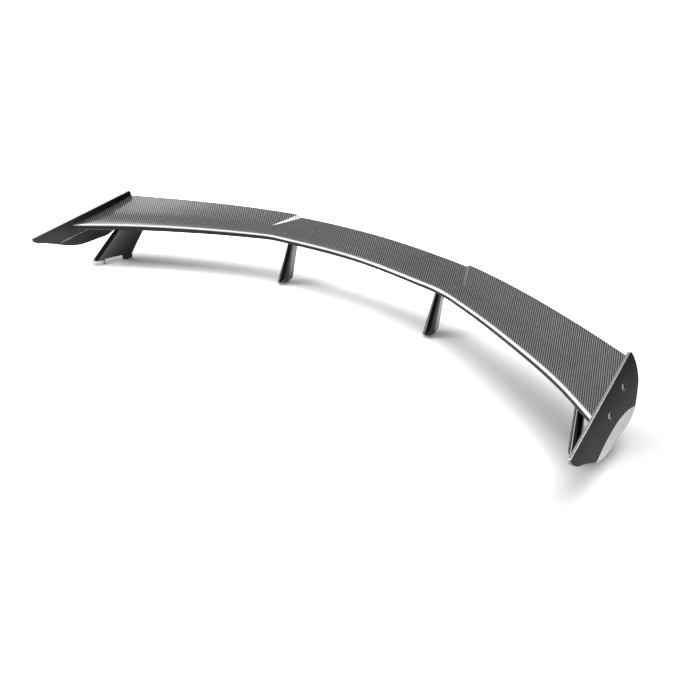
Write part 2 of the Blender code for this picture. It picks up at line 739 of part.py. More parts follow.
def make_outer_strut(side, hand):
    strut = add_part("strut_outer_" + hand, loft(strut_rings(outer_place, OUTER_SOLE_Z, side)), "gloss_black")
    start = OUTER_LENGTH - OUTER_BOSS_LENGTH - BOSS_INSET
    levels = (OUTER_BOSS_Z, OUTER_SOLE_Z + 0.006)
    rings = []
    for z in levels:
        ring = outer_ring(OUTER_SOLE_Z, side, OUTER_BOSS_LENGTH, BOSS_WIDTH, start)
        rings.append([Vector((point.x, point.y, z)) for point in ring])
    boss_mesh = bpy.data.meshes.new("boss_" + hand)
    shape = loft(rings)
    shape.to_mesh(boss_mesh)
    shape.free()
    boss = bpy.data.objects.new("boss_" + hand, boss_mesh)
    boss.hide_render = True
    boss.display_type = "WIRE"
    cutters.objects.link(boss)
    union = strut.modifiers.new("boss", "BOOLEAN")
    union.operation = "UNION"
    union.solver = "EXACT"
    union.object = boss
    holes = [stud_hole(place, side) for place in outer_studs()]
    for spot, sole, _ in outer_stud_spots():
        start = Matrix.Translation((side * spot.x, spot.y, sole - PAD))
        holes.append((start, HOLE_RADIUS, HOLE_RADIUS, PAD + MOUNT_STUD_UP + GAP))
    drill(strut, holes)


def make_outer_feet(side, hand):
    for spot, sole, end in outer_stud_spots():
        length = FRONT_PAD_LENGTH if end == "front" else OUTER_BOSS_LENGTH
        width = OUTER_WIDTH if end == "front" else BOSS_WIDTH
        begin = BOSS_INSET if end == "front" else OUTER_LENGTH - OUTER_BOSS_LENGTH - BOSS_INSET
        rings = []
        for z in (sole - PAD, sole - GAP):
            ring = outer_ring(OUTER_SOLE_Z, side, length, width - PAD_INSET, begin)
            rings.append([Vector((point.x, point.y, z)) for point in ring])
        pad = add_part("foot_pad_" + end + "_" + hand, loft(rings), "rubber")
        drill(pad, [(Matrix.Translation((side * spot.x, spot.y, 0)), HOLE_RADIUS, HOLE_RADIUS, 0.03)])
        top = Vector((side * spot.x, spot.y, sole + MOUNT_STUD_UP))
        rod("mount_stud_" + end + "_" + hand, top, Vector((side * spot.x, spot.y, 0)), STUD_RADIUS, "steel")


def centre_insert_spot():
    return Vector((CENTRE_X, CENTRE_NOSE_Y + CENTRE_LENGTH / 2 - 0.002))


def make_centre_strut(side, hand):
    sole = CENTRE_FOOT_Z + PAD
    strut = add_part("strut_centre_" + hand, loft(strut_rings(centre_place, sole, side)), "gloss_black")
    spot = centre_insert_spot()
    pocket = Matrix.Translation((side * spot.x, spot.y, CENTRE_FOOT_Z - PAD))
    holes = [stud_hole(place, side) for place in centre_studs()]
    holes.append((pocket, INSERT_RADIUS + GAP, INSERT_RADIUS + GAP, 2 * PAD + INSERT_HEIGHT + GAP))
    drill(strut, holes)
    rings = []
    for z in (CENTRE_FOOT_Z, sole - GAP):
        loop = strut_outline(CENTRE_LENGTH - PAD_INSET, CENTRE_WIDTH - PAD_INSET)
        rings.append([Vector((side * (CENTRE_X + b), CENTRE_NOSE_Y + PAD_INSET / 2 + a, z)) for a, b in loop])
    pad = add_part("foot_pad_centre_" + hand, loft(rings), "rubber")
    drill(pad, [(pocket, INSERT_RADIUS + GAP, INSERT_RADIUS + GAP, 0.01)])
    bore = HOLE_RADIUS
    ring = [(bore, INSERT_HEIGHT), (INSERT_RADIUS, INSERT_HEIGHT), (INSERT_RADIUS, 0), (bore, 0)]
    turned("centre_insert_" + hand, ring, "steel", Matrix.Translation((side * spot.x, spot.y, sole + GAP)))


def make_struts():
    for side, hand in ((-1, "left"), (1, "right")):
        make_outer_strut(side, hand)
        make_outer_feet(side, hand)
        make_centre_strut(side, hand)


clear_scene()
parts = new_collection("racing_rear_wing")
cutters = new_collection("cutters")
make_blade()
make_end_plates()
make_struts()
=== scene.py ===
import bpy
import bmesh
import json
from math import cos, hypot, pi, radians, sin, sqrt
from mathutils import Matrix, Vector


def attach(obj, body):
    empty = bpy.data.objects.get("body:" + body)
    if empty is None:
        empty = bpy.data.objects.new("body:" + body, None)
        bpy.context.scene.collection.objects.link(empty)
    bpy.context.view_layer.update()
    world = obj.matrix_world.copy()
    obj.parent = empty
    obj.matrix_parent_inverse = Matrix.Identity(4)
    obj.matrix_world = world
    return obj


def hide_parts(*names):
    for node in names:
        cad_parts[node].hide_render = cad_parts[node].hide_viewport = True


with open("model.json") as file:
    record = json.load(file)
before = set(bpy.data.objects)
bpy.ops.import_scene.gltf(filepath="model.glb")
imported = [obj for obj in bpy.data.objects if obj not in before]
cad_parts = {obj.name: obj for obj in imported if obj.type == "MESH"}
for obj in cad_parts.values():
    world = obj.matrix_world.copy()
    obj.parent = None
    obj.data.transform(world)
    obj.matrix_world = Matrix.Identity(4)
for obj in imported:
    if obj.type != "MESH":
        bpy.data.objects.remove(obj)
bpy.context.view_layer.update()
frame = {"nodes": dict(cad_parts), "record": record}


# Curves through a few design points

def slopeAt(points, i, flatStart):
    last = len(points) - 1
    if i == 0 and flatStart:
        return 0.0
    if i in (0, last):
        a, b = points[max(i - 1, 0)], points[min(i + 1, last)]
        return (b[1] - a[1]) / (b[0] - a[0])
    before = points[i][0] - points[i - 1][0]
    after = points[i + 1][0] - points[i][0]
    rise = (points[i][1] - points[i - 1][1]) / before
    climb = (points[i + 1][1] - points[i][1]) / after
    return (after * rise + before * climb) / (before + after)


def through(points, x, flatStart=False):
    i = 0
    while i < len(points) - 2 and x > points[i + 1][0]:
        i += 1
    (x0, v0), (x1, v1) = points[i], points[i + 1]
    span = x1 - x0
    t = (x - x0) / span
    m0 = slopeAt(points, i, flatStart) * span
    m1 = slopeAt(points, i + 1, flatStart) * span
    rest = 1 - t
    return rest * rest * ((1 + 2 * t) * v0 + t * m0) + t * t * ((3 - 2 * t) * v1 - rest * m1)


def route(points, t):
    reach = [0.0]
    for a, b in zip(points, points[1:]):
        reach.append(reach[-1] + hypot(b[0] - a[0], b[1] - a[1]))
    place = t * reach[-1]
    first = [(r, p[0]) for r, p in zip(reach, points)]
    second = [(r, p[1]) for r, p in zip(reach, points)]
    return Vector((through(first, place), through(second, place)))


def clamp(value):
    return max(0.0, min(1.0, value))


def mix(a, b, t):
    return a + (b - a) * t


def spread(low, high, count):
    return [mix(low, high, k / (count - 1)) for k in range(count)]


# Helpers for meshes and for material nodes

def finishMesh(name, mesh, materials, nodes, angle=30):
    data = bpy.data.meshes.new(name)
    mesh.to_mesh(data)
    mesh.free()
    data.shade_smooth()
    data.set_sharp_from_angle(angle=radians(angle))
    for material in materials:
        data.materials.append(material)
    piece = bpy.data.objects.new(name, data)
    bpy.context.scene.collection.objects.link(piece)
    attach(piece, "root")
    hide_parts(*nodes)
    return piece


def shapedGrid(columns, rows, place):
    mesh = bmesh.new()
    bmesh.ops.create_grid(mesh, x_segments=columns, y_segments=rows, size=0.5)
    row = mesh.verts.layers.float.new("row")
    for vertex in mesh.verts:
        i = round((vertex.co.x + 0.5) * columns)
        j = round((vertex.co.y + 0.5) * rows)
        vertex.co = place(i, j)
        vertex[row] = j
    return mesh


def tubeMesh(rings):
    count = len(rings[0])
    mesh = shapedGrid(count, len(rings) - 1, lambda i, j: rings[j][i % count])
    bmesh.ops.remove_doubles(mesh, verts=mesh.verts, dist=0.000001)
    bmesh.ops.holes_fill(mesh, edges=mesh.edges, sides=0)
    bmesh.ops.recalc_face_normals(mesh, faces=mesh.faces)
    return mesh


def aimNormals(mesh, direction):
    mesh.normal_update()
    total = Vector()
    for face in mesh.faces:
        total += face.normal * face.calc_area()
    if total.dot(direction) < 0:
        bmesh.ops.reverse_faces(mesh, faces=mesh.faces)


def bakeModifiers(piece, angle=30):
    graph = bpy.context.evaluated_depsgraph_get()
    graph.update()
    data = bpy.data.meshes.new_from_object(piece.evaluated_get(graph))
    old = piece.data
    piece.modifiers.clear()
    piece.data = data
    bpy.data.meshes.remove(old)
    data.name = piece.name
    data.shade_smooth()
    data.set_sharp_from_angle(angle=radians(angle))


def newMaterial(name):
    material = bpy.data.materials.new(name)
    material.use_nodes = True
    nodes = material.node_tree.nodes
    return material, nodes, material.node_tree.links, nodes["Principled BSDF"]


def mathNode(nodes, links, operation, first, second=None, third=None):
    node = nodes.new("ShaderNodeMath")
    node.operation = operation
    for socket, value in zip(node.inputs, (first, second, third)):
        if value is None:
            continue
        if isinstance(value, (int, float)):
            socket.default_value = value
        else:
            links.new(value, socket)
    return node.outputs[0]


def noiseNode(nodes, links, vector, scale, detail=2.0, roughness=0.5):
    noise = nodes.new("ShaderNodeTexNoise")
    noise.inputs["Scale"].default_value = scale
    noise.inputs["Detail"].default_value = detail
    noise.inputs["Roughness"].default_value = roughness
    links.new(vector, noise.inputs["Vector"])
    return noise.outputs["Fac"]


def rampNode(nodes, links, factor, stops):
    ramp = nodes.new("ShaderNodeValToRGB")
    ramp.color_ramp.elements[0].position = stops[0][0]
    ramp.color_ramp.elements[0].color = stops[0][1]
    ramp.color_ramp.elements[1].position = stops[-1][0]
    ramp.color_ramp.elements[1].color = stops[-1][1]
    for place, colour in stops[1:-1]:
        ramp.color_ramp.elements.new(place).color = colour
    links.new(factor, ramp.inputs["Fac"])
    return ramp.outputs["Color"]


def stretched(nodes, links, vector, scale):
    mapping = nodes.new("ShaderNodeMapping")
    mapping.inputs["Scale"].default_value = scale
    links.new(vector, mapping.inputs["Vector"])
    return mapping.outputs["Vector"]


def softEdge(nodes, links, value, outside, inside):
    edge = nodes.new("ShaderNodeMapRange")
    edge.interpolation_type = "SMOOTHSTEP"
    edge.inputs["From Min"].default_value = outside
    edge.inputs["From Max"].default_value = inside
    links.new(value, edge.inputs["Value"])
    return edge.outputs["Result"]


def grey(value, warmth=0.0):
    return (value * (1 + warmth), value, value * (1 - warmth), 1)


# Carbon laminate: a two-by-two twill under a clear coat

carbonLooks = {
    "light": 0.166,
    "dark": 0.004,
    "plain": 0.36,             # even light tone painted along the nose as a painted highlight band, so that its highlight is one line
    "plainEdge": (0.19, 0.26),
    "under": 0.004,            # dark tone painted below it, a painted shade
    "underEdge": (0.09, 0.15),
    "warmth": 0.035,
    "metallic": 0.5,
    "specular": 0.2,
    "paintedLowLight": 0.0,            # extra brightness painted towards the bottom edge, a painted reflection, for the plates
    "paintedLowLightBase": 0.45,
    "paintedLowLightZ": (0.185, 0.075),
    "filaments": (900, 900, 900),
    "cloudScale": 9.0,
    "humpShade": 0.30,
    "fleckShade": 0.30,
    "cloudShade": 0.20,
    "roughness": 0.26,
    "coat": 1.0,
    "coatRoughness": 0.035,
    "bump": 0.25,
}


# paints the nose: an even light band as a painted highlight, and a dark painted shade below it
def aroundNose(nodes, links, woven, looks):
    nose = nodes.new("ShaderNodeAttribute")
    nose.attribute_name = "nose"
    for tone in ("plain", "under"):
        blend = nodes.new("ShaderNodeMix")
        blend.data_type = "RGBA"
        edge = softEdge(nodes, links, nose.outputs["Fac"], *looks[tone + "Edge"])
        links.new(edge, blend.inputs["Factor"])
        blend.inputs["A"].default_value = grey(looks[tone], looks["warmth"] * 0.5)
        links.new(woven, blend.inputs["B"])
        woven = blend.outputs["Result"]
    return woven


def carbonMaterial(name, looks):
    material, nodes, links, shader = newMaterial(name)
    weave = nodes.new("ShaderNodeUVMap")
    weave.uv_map = "weave"
    parts = nodes.new("ShaderNodeSeparateXYZ")
    links.new(weave.outputs["UV"], parts.inputs["Vector"])
    across, along = parts.outputs["X"], parts.outputs["Y"]
    column = mathNode(nodes, links, "FLOOR", across)
    row = mathNode(nodes, links, "FLOOR", along)
    step = mathNode(nodes, links, "ADD", column, row)
    turn = mathNode(nodes, links, "FLOORED_MODULO", step, 4.0)
    warpUp = mathNode(nodes, links, "LESS_THAN", turn, 2.0)
    # rounded height across whichever tow is on top
    acrossIn = mathNode(nodes, links, "SUBTRACT", across, column)
    alongIn = mathNode(nodes, links, "SUBTRACT", along, row)
    acrossHump = mathNode(nodes, links, "SINE", mathNode(nodes, links, "MULTIPLY", acrossIn, pi))
    alongHump = mathNode(nodes, links, "SINE", mathNode(nodes, links, "MULTIPLY", alongIn, pi))
    hump = nodes.new("ShaderNodeMix")
    hump.data_type = "FLOAT"
    links.new(warpUp, hump.inputs["Factor"])
    links.new(alongHump, hump.inputs["A"])
    links.new(acrossHump, hump.inputs["B"])
    height = hump.outputs["Result"]
    # colour: one set of tows is painted light, the twill's pattern with a painted sheen for the light it
    # catches, the other stays dark; streaks of single filaments
    objectPlace = nodes.new("ShaderNodeTexCoord").outputs["Object"]
    strands = noiseNode(nodes, links, stretched(nodes, links, objectPlace, looks["filaments"]), 1.0, 2.0, 0.6)
    clouds = noiseNode(nodes, links, objectPlace, looks["cloudScale"], 2.0, 0.5)
    base = nodes.new("ShaderNodeMix")
    base.data_type = "RGBA"
    links.new(warpUp, base.inputs["Factor"])
    base.inputs["A"].default_value = grey(looks["dark"], looks["warmth"])
    base.inputs["B"].default_value = grey(looks["light"], looks["warmth"])
    # painted shade and highlight across each tow: lighter along its crown, darker at its edges
    shade = mathNode(nodes, links, "MULTIPLY_ADD", height, looks["humpShade"], 1 - looks["humpShade"])
    fleck = mathNode(nodes, links, "MULTIPLY_ADD", strands, looks["fleckShade"], 1 - looks["fleckShade"] / 2)
    cloudy = mathNode(nodes, links, "MULTIPLY_ADD", clouds, looks["cloudShade"], 1 - looks["cloudShade"] / 2)
    level = mathNode(nodes, links, "MULTIPLY", mathNode(nodes, links, "MULTIPLY", shade, fleck), cloudy)
    # painted reflection: the plates' tone grows lighter towards the bottom edge
    if looks["paintedLowLight"]:
        spot = nodes.new("ShaderNodeSeparateXYZ")
        links.new(objectPlace, spot.inputs["Vector"])
        lift = softEdge(nodes, links, spot.outputs["Z"], *looks["paintedLowLightZ"])
        lift = mathNode(nodes, links, "MULTIPLY_ADD", lift, looks["paintedLowLight"], looks["paintedLowLightBase"])
        level = mathNode(nodes, links, "MULTIPLY", level, lift)
    tone = nodes.new("ShaderNodeVectorMath")
    tone.operation = "SCALE"
    shaded = base.outputs["Result"]
    if looks["plain"]:
        shaded = aroundNose(nodes, links, shaded, looks)
    links.new(shaded, tone.inputs[0])
    links.new(level, tone.inputs["Scale"])
    links.new(tone.outputs["Vector"], shader.inputs["Base Color"])
    rough = mathNode(nodes, links, "MULTIPLY_ADD", strands, 0.10, looks["roughness"] - 0.05)
    links.new(rough, shader.inputs["Roughness"])
    shader.inputs["Metallic"].default_value = looks["metallic"]
    shader.inputs["Specular IOR Level"].default_value = looks["specular"]
    shader.inputs["Coat Weight"].default_value = looks["coat"]
    shader.inputs["Coat Roughness"].default_value = looks["coatRoughness"]
    bump = nodes.new("ShaderNodeBump")
    bump.inputs["Strength"].default_value = looks["bump"]
    bump.inputs["Distance"].default_value = 0.00025
    links.new(height, bump.inputs["Height"])
    links.new(bump.outputs["Normal"], shader.inputs["Normal"])
    return material


# One laminate, in tones painted region by region to stand in for what each would reflect
# painted shade below the nose
chinLooks = {"light": 0.016, "dark": 0.004, "plain": 0, "coat": 0.16, "specular": 0.05, "metallic": 0.0}
# painted highlight on the step's wall
creaseLooks = {"light": 0.28, "dark": 0.12, "plain": 0, "bump": 0.05}
# painted highlight on the bead
beadLooks = {"light": 0.5, "dark": 0.4, "plain": 0, "metallic": 0.8}
# painted dark reflection on the plates' panels, painted lighter towards the bottom edge
panelLooks = {"light": 0.036, "dark": 0.024, "plain": 0, "metallic": 0.0, "specular": 0.0, "coat": 0.05,
              "paintedLowLight": 1.2, "bump": 0.1}
# painted light reflection on the plates' rims
rimLooks = {"light": 0.24, "dark": 0.17, "plain": 0, "roughness": 0.34, "bump": 0.1}
# painted light reflection on the plates' outer facets
facetLooks = {"light": 0.34, "dark": 0.22, "plain": 0, "metallic": 0.3}

carbon = carbonMaterial("twillCarbon", carbonLooks)
chinCarbon = carbonMaterial("chinCarbon", carbonLooks | chinLooks)
creaseCarbon = carbonMaterial("creaseCarbon", carbonLooks | creaseLooks)
panelCarbon = carbonMaterial("panelCarbon", carbonLooks | panelLooks)
rimCarbon = carbonMaterial("rimCarbon", carbonLooks | rimLooks)
facetCarbon = carbonMaterial("facetCarbon", carbonLooks | facetLooks)
beadCarbon = carbonMaterial("beadCarbon", carbonLooks | beadLooks)

blackLooks = {"colour": 0.003, "roughness": 0.22, "coat": 0.8, "coatRoughness": 0.03}


def glossBlackMaterial(looks):
    material, nodes, links, shader = newMaterial("glossBlack")
    place = nodes.new("ShaderNodeTexCoord").outputs["Object"]
    peel = noiseNode(nodes, links, place, 260.0, 1.0, 0.4)
    dust = noiseNode(nodes, links, place, 1400.0, 2.0, 0.7)
    shade = rampNode(nodes, links, dust, [(0.55, grey(looks["colour"])), (0.80, grey(looks["colour"] * 2.4))])
    links.new(shade, shader.inputs["Base Color"])
    rough = mathNode(nodes, links, "MULTIPLY_ADD", peel, 0.08, looks["roughness"] - 0.04)
    links.new(rough, shader.inputs["Roughness"])
    shader.inputs["Specular IOR Level"].default_value = 0.15
    shader.inputs["Coat Weight"].default_value = looks["coat"]
    shader.inputs["Coat Roughness"].default_value = looks["coatRoughness"]
    bump = nodes.new("ShaderNodeBump")
    bump.inputs["Strength"].default_value = 0.05
    bump.inputs["Distance"].default_value = 0.0002
    links.new(peel, bump.inputs["Height"])
    links.new(bump.outputs["Normal"], shader.inputs["Normal"])
    return material


glossBlack = glossBlackMaterial(blackLooks)


def metalMaterial(name, tone, roughness, metallic=1.0, grain=(60, 60, 1400), scratch=0.25):
    material, nodes, links, shader = newMaterial(name)
    place = nodes.new("ShaderNodeTexCoord").outputs["Object"]
    lines = noiseNode(nodes, links, stretched(nodes, links, place, grain), 1.0, 3.0, 0.6)
    patches = noiseNode(nodes, links, place, 160.0, 2.0, 0.6)
    low = tuple(c * 0.72 for c in tone) + (1,)
    shade = rampNode(nodes, links, patches, [(0.35, low), (0.65, tuple(tone) + (1,))])
    links.new(shade, shader.inputs["Base Color"])
    rough = mathNode(nodes, links, "MULTIPLY_ADD", lines, 0.22, roughness - 0.11)
    links.new(rough, shader.inputs["Roughness"])
    shader.inputs["Metallic"].default_value = metallic
    bump = nodes.new("ShaderNodeBump")
    bump.inputs["Strength"].default_value = scratch
    bump.inputs["Distance"].default_value = 0.0001
    links.new(lines, bump.inputs["Height"])
    links.new(bump.outputs["Normal"], shader.inputs["Normal"])
    return material


def threadMaterial(name, tone, pitch):
    material, nodes, links, shader = newMaterial(name)
    place = nodes.new("ShaderNodeTexCoord").outputs["Object"]
    parts = nodes.new("ShaderNodeSeparateXYZ")
    links.new(place, parts.inputs["Vector"])
    ridge = mathNode(nodes, links, "PINGPONG", parts.outputs["Z"], pitch / 2)
    ridge = mathNode(nodes, links, "DIVIDE", ridge, pitch / 2)
    wear = noiseNode(nodes, links, place, 700.0, 2.0, 0.6)
    # the thread's valleys are painted darker, a painted shade in its grooves
    valley = tuple(c * 0.25 for c in tone) + (1,)
    shade = rampNode(nodes, links, ridge, [(0.0, valley), (0.9, tuple(tone) + (1,))])
    links.new(shade, shader.inputs["Base Color"])
    links.new(mathNode(nodes, links, "MULTIPLY_ADD", wear, 0.25, 0.18), shader.inputs["Roughness"])
    shader.inputs["Metallic"].default_value = 1.0
    bump = nodes.new("ShaderNodeBump")
    bump.inputs["Strength"].default_value = 0.9
    bump.inputs["Distance"].default_value = pitch * 0.6
    links.new(ridge, bump.inputs["Height"])
    links.new(bump.outputs["Normal"], shader.inputs["Normal"])
    return material


def foamMaterial():
    material, nodes, links, shader = newMaterial("creamFoam")
    place = nodes.new("ShaderNodeTexCoord").outputs["Object"]
    cells = nodes.new("ShaderNodeTexVoronoi")
    cells.inputs["Scale"].default_value = 900.0
    links.new(place, cells.inputs["Vector"])
    # the pits of the cells are painted darker, a painted shade
    shade = rampNode(nodes, links, cells.outputs["Distance"],
                     [(0.0, (0.52, 0.47, 0.36, 1)), (0.5, (0.78, 0.73, 0.60, 1))])
    links.new(shade, shader.inputs["Base Color"])
    shader.inputs["Roughness"].default_value = 0.92
    bump = nodes.new("ShaderNodeBump")
    bump.inputs["Strength"].default_value = 0.6
    bump.inputs["Distance"].default_value = 0.0004
    links.new(cells.outputs["Distance"], bump.inputs["Height"])
    links.new(bump.outputs["Normal"], shader.inputs["Normal"])
    return material


def rubberMaterial():
    material, nodes, links, shader = newMaterial("padRubber")
    place = nodes.new("ShaderNodeTexCoord").outputs["Object"]
    grain = noiseNode(nodes, links, place, 2200.0, 3.0, 0.7)
    bloom = noiseNode(nodes, links, place, 120.0, 2.0, 0.5)
    shade = rampNode(nodes, links, bloom, [(0.3, grey(0.018)), (0.7, grey(0.038))])
    links.new(shade, shader.inputs["Base Color"])
    links.new(mathNode(nodes, links, "MULTIPLY_ADD", grain, 0.2, 0.68), shader.inputs["Roughness"])
    bump = nodes.new("ShaderNodeBump")
    bump.inputs["Strength"].default_value = 0.5
    bump.inputs["Distance"].default_value = 0.0002
    links.new(grain, bump.inputs["Height"])
    links.new(bump.outputs["Normal"], shader.inputs["Normal"])
    return material


finishes = {
    "foam": foamMaterial(),
    "aluminium": metalMaterial("milledAluminium", (0.72, 0.73, 0.75), 0.38),
    "steel": metalMaterial("zincSteel", (0.60, 0.61, 0.62), 0.30, grain=(500, 500, 500)),
    "black_steel": metalMaterial("blackOxide", (0.030, 0.030, 0.034), 0.24, 0.85, (600, 600, 600), 0.10),
    "rubber": rubberMaterial(),
    "gloss_black": glossBlack,
}
threaded = threadMaterial("studThread", (0.62, 0.62, 0.60), 0.001)
print("materials ready")


# The blade as a surface: x along the span, q round its section from the nose at 0

bladeShape = {
    "noseY": ((0, 0.1526), (0.2, 0.1356), (0.27, 0.1266), (0.34, 0.1006), (0.5, 0.0266), (0.66, -0.0604),
              (0.78, -0.1494)),
    "noseZ": ((0, 0.1275), (0.2, 0.127), (0.34, 0.1245), (0.5, 0.1215), (0.66, 0.1165), (0.78, 0.115)),
    "tailY": ((0, 0.2636), (0.16, 0.2606), (0.26, 0.2516), (0.405, 0.2081), (0.604, 0.1251), (0.77, 0.0426)),
    "tailZ": ((0, 0.156), (0.16, 0.1525), (0.27, 0.1495), (0.4, 0.151), (0.78, 0.154)),
    "profile": ((-1.0, -0.0019), (-0.92, -0.0048), (-0.80, -0.0096), (-0.67, -0.0128), (-0.52, -0.0132),
                (-0.35, -0.0106), (-0.20, -0.0070), (0.0, 0.0), (0.11, 0.0045), (0.21, 0.0070),
                (0.35, 0.0079), (0.55, 0.0066), (0.74, 0.0042), (0.89, 0.0026), (1.0, 0.0019)),
    "belly": ((0, 1.0), (0.25, 1.02), (0.40, 1.2), (0.52, 1.36), (0.66, 1.42), (0.78, 1.3)),
    "skin": 0.0012,
    "chinQ": 0.09,             # below this line the blade has the dark tone, a painted shade
    "wallStart": 0.03,         # how far behind the step's tip its lighter tone, a painted highlight, starts
    "wallShare": (0.2, 0.8),   # and the part of the step's width that has it
    "noseSpacing": 0.0125,
    "noseRows": 42,
    "upperRows": 40,
    "lowerRows": 44,
    "seamQ": -0.17,
    "seamWidth": 0.015,
    "stepHeight": 0.0070,
    "stepStart": 0.42,
    "stepTip": 0.307,
    "stepInner": 0.260,
    "stepOuter": 0.275,
    "stepFrontHalf": 0.0015,
    "stepPower": 1.2,
    "endGap": 0.0010,
}


def creaseX(u):
    b = bladeShape
    back = clamp((u - b["stepStart"]) / (1 - b["stepStart"]))
    return (mix(b["stepTip"] - b["stepFrontHalf"], b["stepInner"], back),
            mix(b["stepTip"] + b["stepFrontHalf"], b["stepOuter"], back))


def sectionHeight(x, q):
    return through(bladeShape["profile"], q) * (through(bladeShape["belly"], x) if q < 0 else 1)


def bladePoint(x, q):
    b = bladeShape
    nose = Vector((through(b["noseY"], x, True), through(b["noseZ"], x, True)))
    tail = Vector((through(b["tailY"], x, True), through(b["tailZ"], x, True)))
    chord = (tail - nose).length
    forward = (tail - nose) / chord
    upward = Vector((-forward.y, forward.x))
    u = q * q
    place = nose + chord * u * forward + sectionHeight(x, q) * upward
    inner, outer = creaseX(u)
    t = clamp((x - inner) / (outer - inner))
    raised = t * t * t * (t * (6 * t - 15) + 10)          # rounded at head and foot
    ramp = clamp((u - b["stepStart"]) / (1 - b["stepStart"])) ** b["stepPower"]
    return Vector((x, place.x, place.y + b["stepHeight"] * raised * ramp))


plateShape = {
    "faceX": 0.8225,
    "toe": 0.03,
    "lean": 0.39,
    "tuck": -0.06,
    "wall": 0.007,
    "rounding": 0.0024,
    "top": ((-0.2610, 0.1203), (0.0430, 0.1804)),
    "front": ((-0.2610, 0.1203), (-0.2637, 0.1178), (-0.2628, 0.1128), (-0.2570, 0.1064), (-0.2174, 0.0892),
              (-0.1814, 0.074)),
    "rear": ((0.0430, 0.1804), (0.0492, 0.1785), (0.0535, 0.1730), (0.0596, 0.151), (0.0566, 0.128),
             (0.0366, 0.104), (0.0171, 0.088)),
    "fold": ((-0.1814, 0.074), (-0.1434, 0.0835), (-0.0984, 0.092), (-0.0534, 0.096), (-0.0134, 0.0942),
             (0.0171, 0.088)),
    "edge": ((-0.1774, 0.0705), (-0.1459, 0.0582), (-0.1199, 0.052), (-0.0929, 0.0506), (-0.0534, 0.0528),
             (-0.0139, 0.0558), (0.0066, 0.0665), (0.0156, 0.0815)),
    "screws": ((0.26, 0.62), (0.65, 0.52)),
    "sink": ((0, 0.002), (0.0094, 0.002), (0.0094, 0.0), (0.0048, -0.0048), (0.0031, -0.0048),
             (0.0031, -0.012), (0, -0.012)),
    "sinkSteps": 40,
    "bead": 0.0016,
    "beadEnds": (0.03, 0.97),
    "beadRings": 40,
    "beadSides": 12,
    "beadLift": 0.0002,
    "tows": 500.0,             # tows per metre
    "columns": 40,
    "panelRows": 16,
    "facetRows": 2,
}


def plateFaceX(y, z):
    p = plateShape
    return p["faceX"] - p["toe"] * y - p["lean"] * z


def endX(q, backOff):
    slant = sqrt(1 + plateShape["toe"] ** 2 + plateShape["lean"] ** 2)
    x = 0.76
    for _ in range(6):
        point = bladePoint(x, q)
        x = plateFaceX(point.y, point.z) - (plateShape["wall"] + backOff) * slant
    return x


def bladeColumn(place, q, end):
    inner, outer = creaseX(q * q)
    guides = (0.0, 0.20, inner, outer, 0.37, 0.62, end)
    i = min(int(place), 5)
    return bladePoint(mix(guides[i], guides[i + 1], place - i), q)


def halfColumns():
    steps = (14, 8, 16, 8, 22, 14)
    return [0.0] + [i + (k + 1) / count for i, count in enumerate(steps) for k in range(count)]


def weaveMap(mesh, measure, layerName="weave"):
    layer = mesh.loops.layers.uv.new(layerName)
    for face in mesh.faces:
        for loop in face.loops:
            loop[layer].uv = measure(loop.vert.co)


# The cloth's ribs run back and outwards and close up a little towards the ends.
# Ribs are counted per metre; a rib of two-by-two twill is four tows wide.
weaveLay = {"ribs": (159.0, 34.0, 15.0), "rake": (83.0, -15.0, 33.0)}


def bladeWeave(point):
    x, y = point.x, point.y
    a, b, c = weaveLay["ribs"]
    d, e, f = weaveLay["rake"]
    rib = x * (a + x * (b + x * c)) + y * (d + x * (e + x * f))
    along = y * (a + 2 * b * x + 3 * c * x * x) - d * x
    return Vector((2 * (rib + along), 2 * (rib - along)))


# each blade face's tone: 1 is the painted shade below the nose, 2 the painted highlight on the step's wall, 0
# the twill
def toneIndex(middle, q):
    b = bladeShape
    inner, outer = creaseX(q * q)
    share = (abs(middle.x) - inner) / (outer - inner)
    low, high = b["wallShare"]
    if q < b["chinQ"]:
        return 1
    if q * q > b["stepStart"] + b["wallStart"] and low < share < high:
        return 2
    return 0


def makeSkin(name, rows, up, node):
    columns = [-c for c in reversed(halfColumns()[1:])] + halfColumns()
    ends = [endX(q, bladeShape["endGap"]) for q in rows]

    def place(i, j):
        point = bladeColumn(abs(columns[i]), rows[j], ends[j])
        return Vector((-point.x, point.y, point.z)) if columns[i] < 0 else point

    mesh = shapedGrid(len(columns) - 1, len(rows) - 1, place)
    nose = mesh.verts.layers.float.new("nose")
    row = mesh.verts.layers.float["row"]
    for vertex in mesh.verts:
        vertex[nose] = rows[round(vertex[row])]
    aimNormals(mesh, Vector((0, 0, up)))
    weaveMap(mesh, bladeWeave)
    for face in mesh.faces:
        q = sum(vertex[nose] for vertex in face.verts) / len(face.verts)
        face.material_index = toneIndex(face.calc_center_median(), q)
    piece = finishMesh(name, mesh, [carbon, chinCarbon, creaseCarbon], [node], 40)
    wall = piece.modifiers.new("wall", "SOLIDIFY")
    wall.thickness = bladeShape["skin"]
    wall.offset = -1
    wall.use_even_offset = True
    bakeModifiers(piece, 40)
    return piece


def makeBlade():
    b = bladeShape
    nose = [b["seamQ"] + k * b["noseSpacing"] for k in range(b["noseRows"])]
    upper = nose + spread(nose[-1], 1.0, b["upperRows"])[1:]
    lower = spread(-1.0, b["seamQ"] - b["seamWidth"], b["lowerRows"])
    makeSkin("bladeUpperSkin", upper, 1, "upper_skin")
    makeSkin("bladeLowerSkin", lower, -1, "lower_skin")
    print("blade skins made")


makeBlade()


# End plates

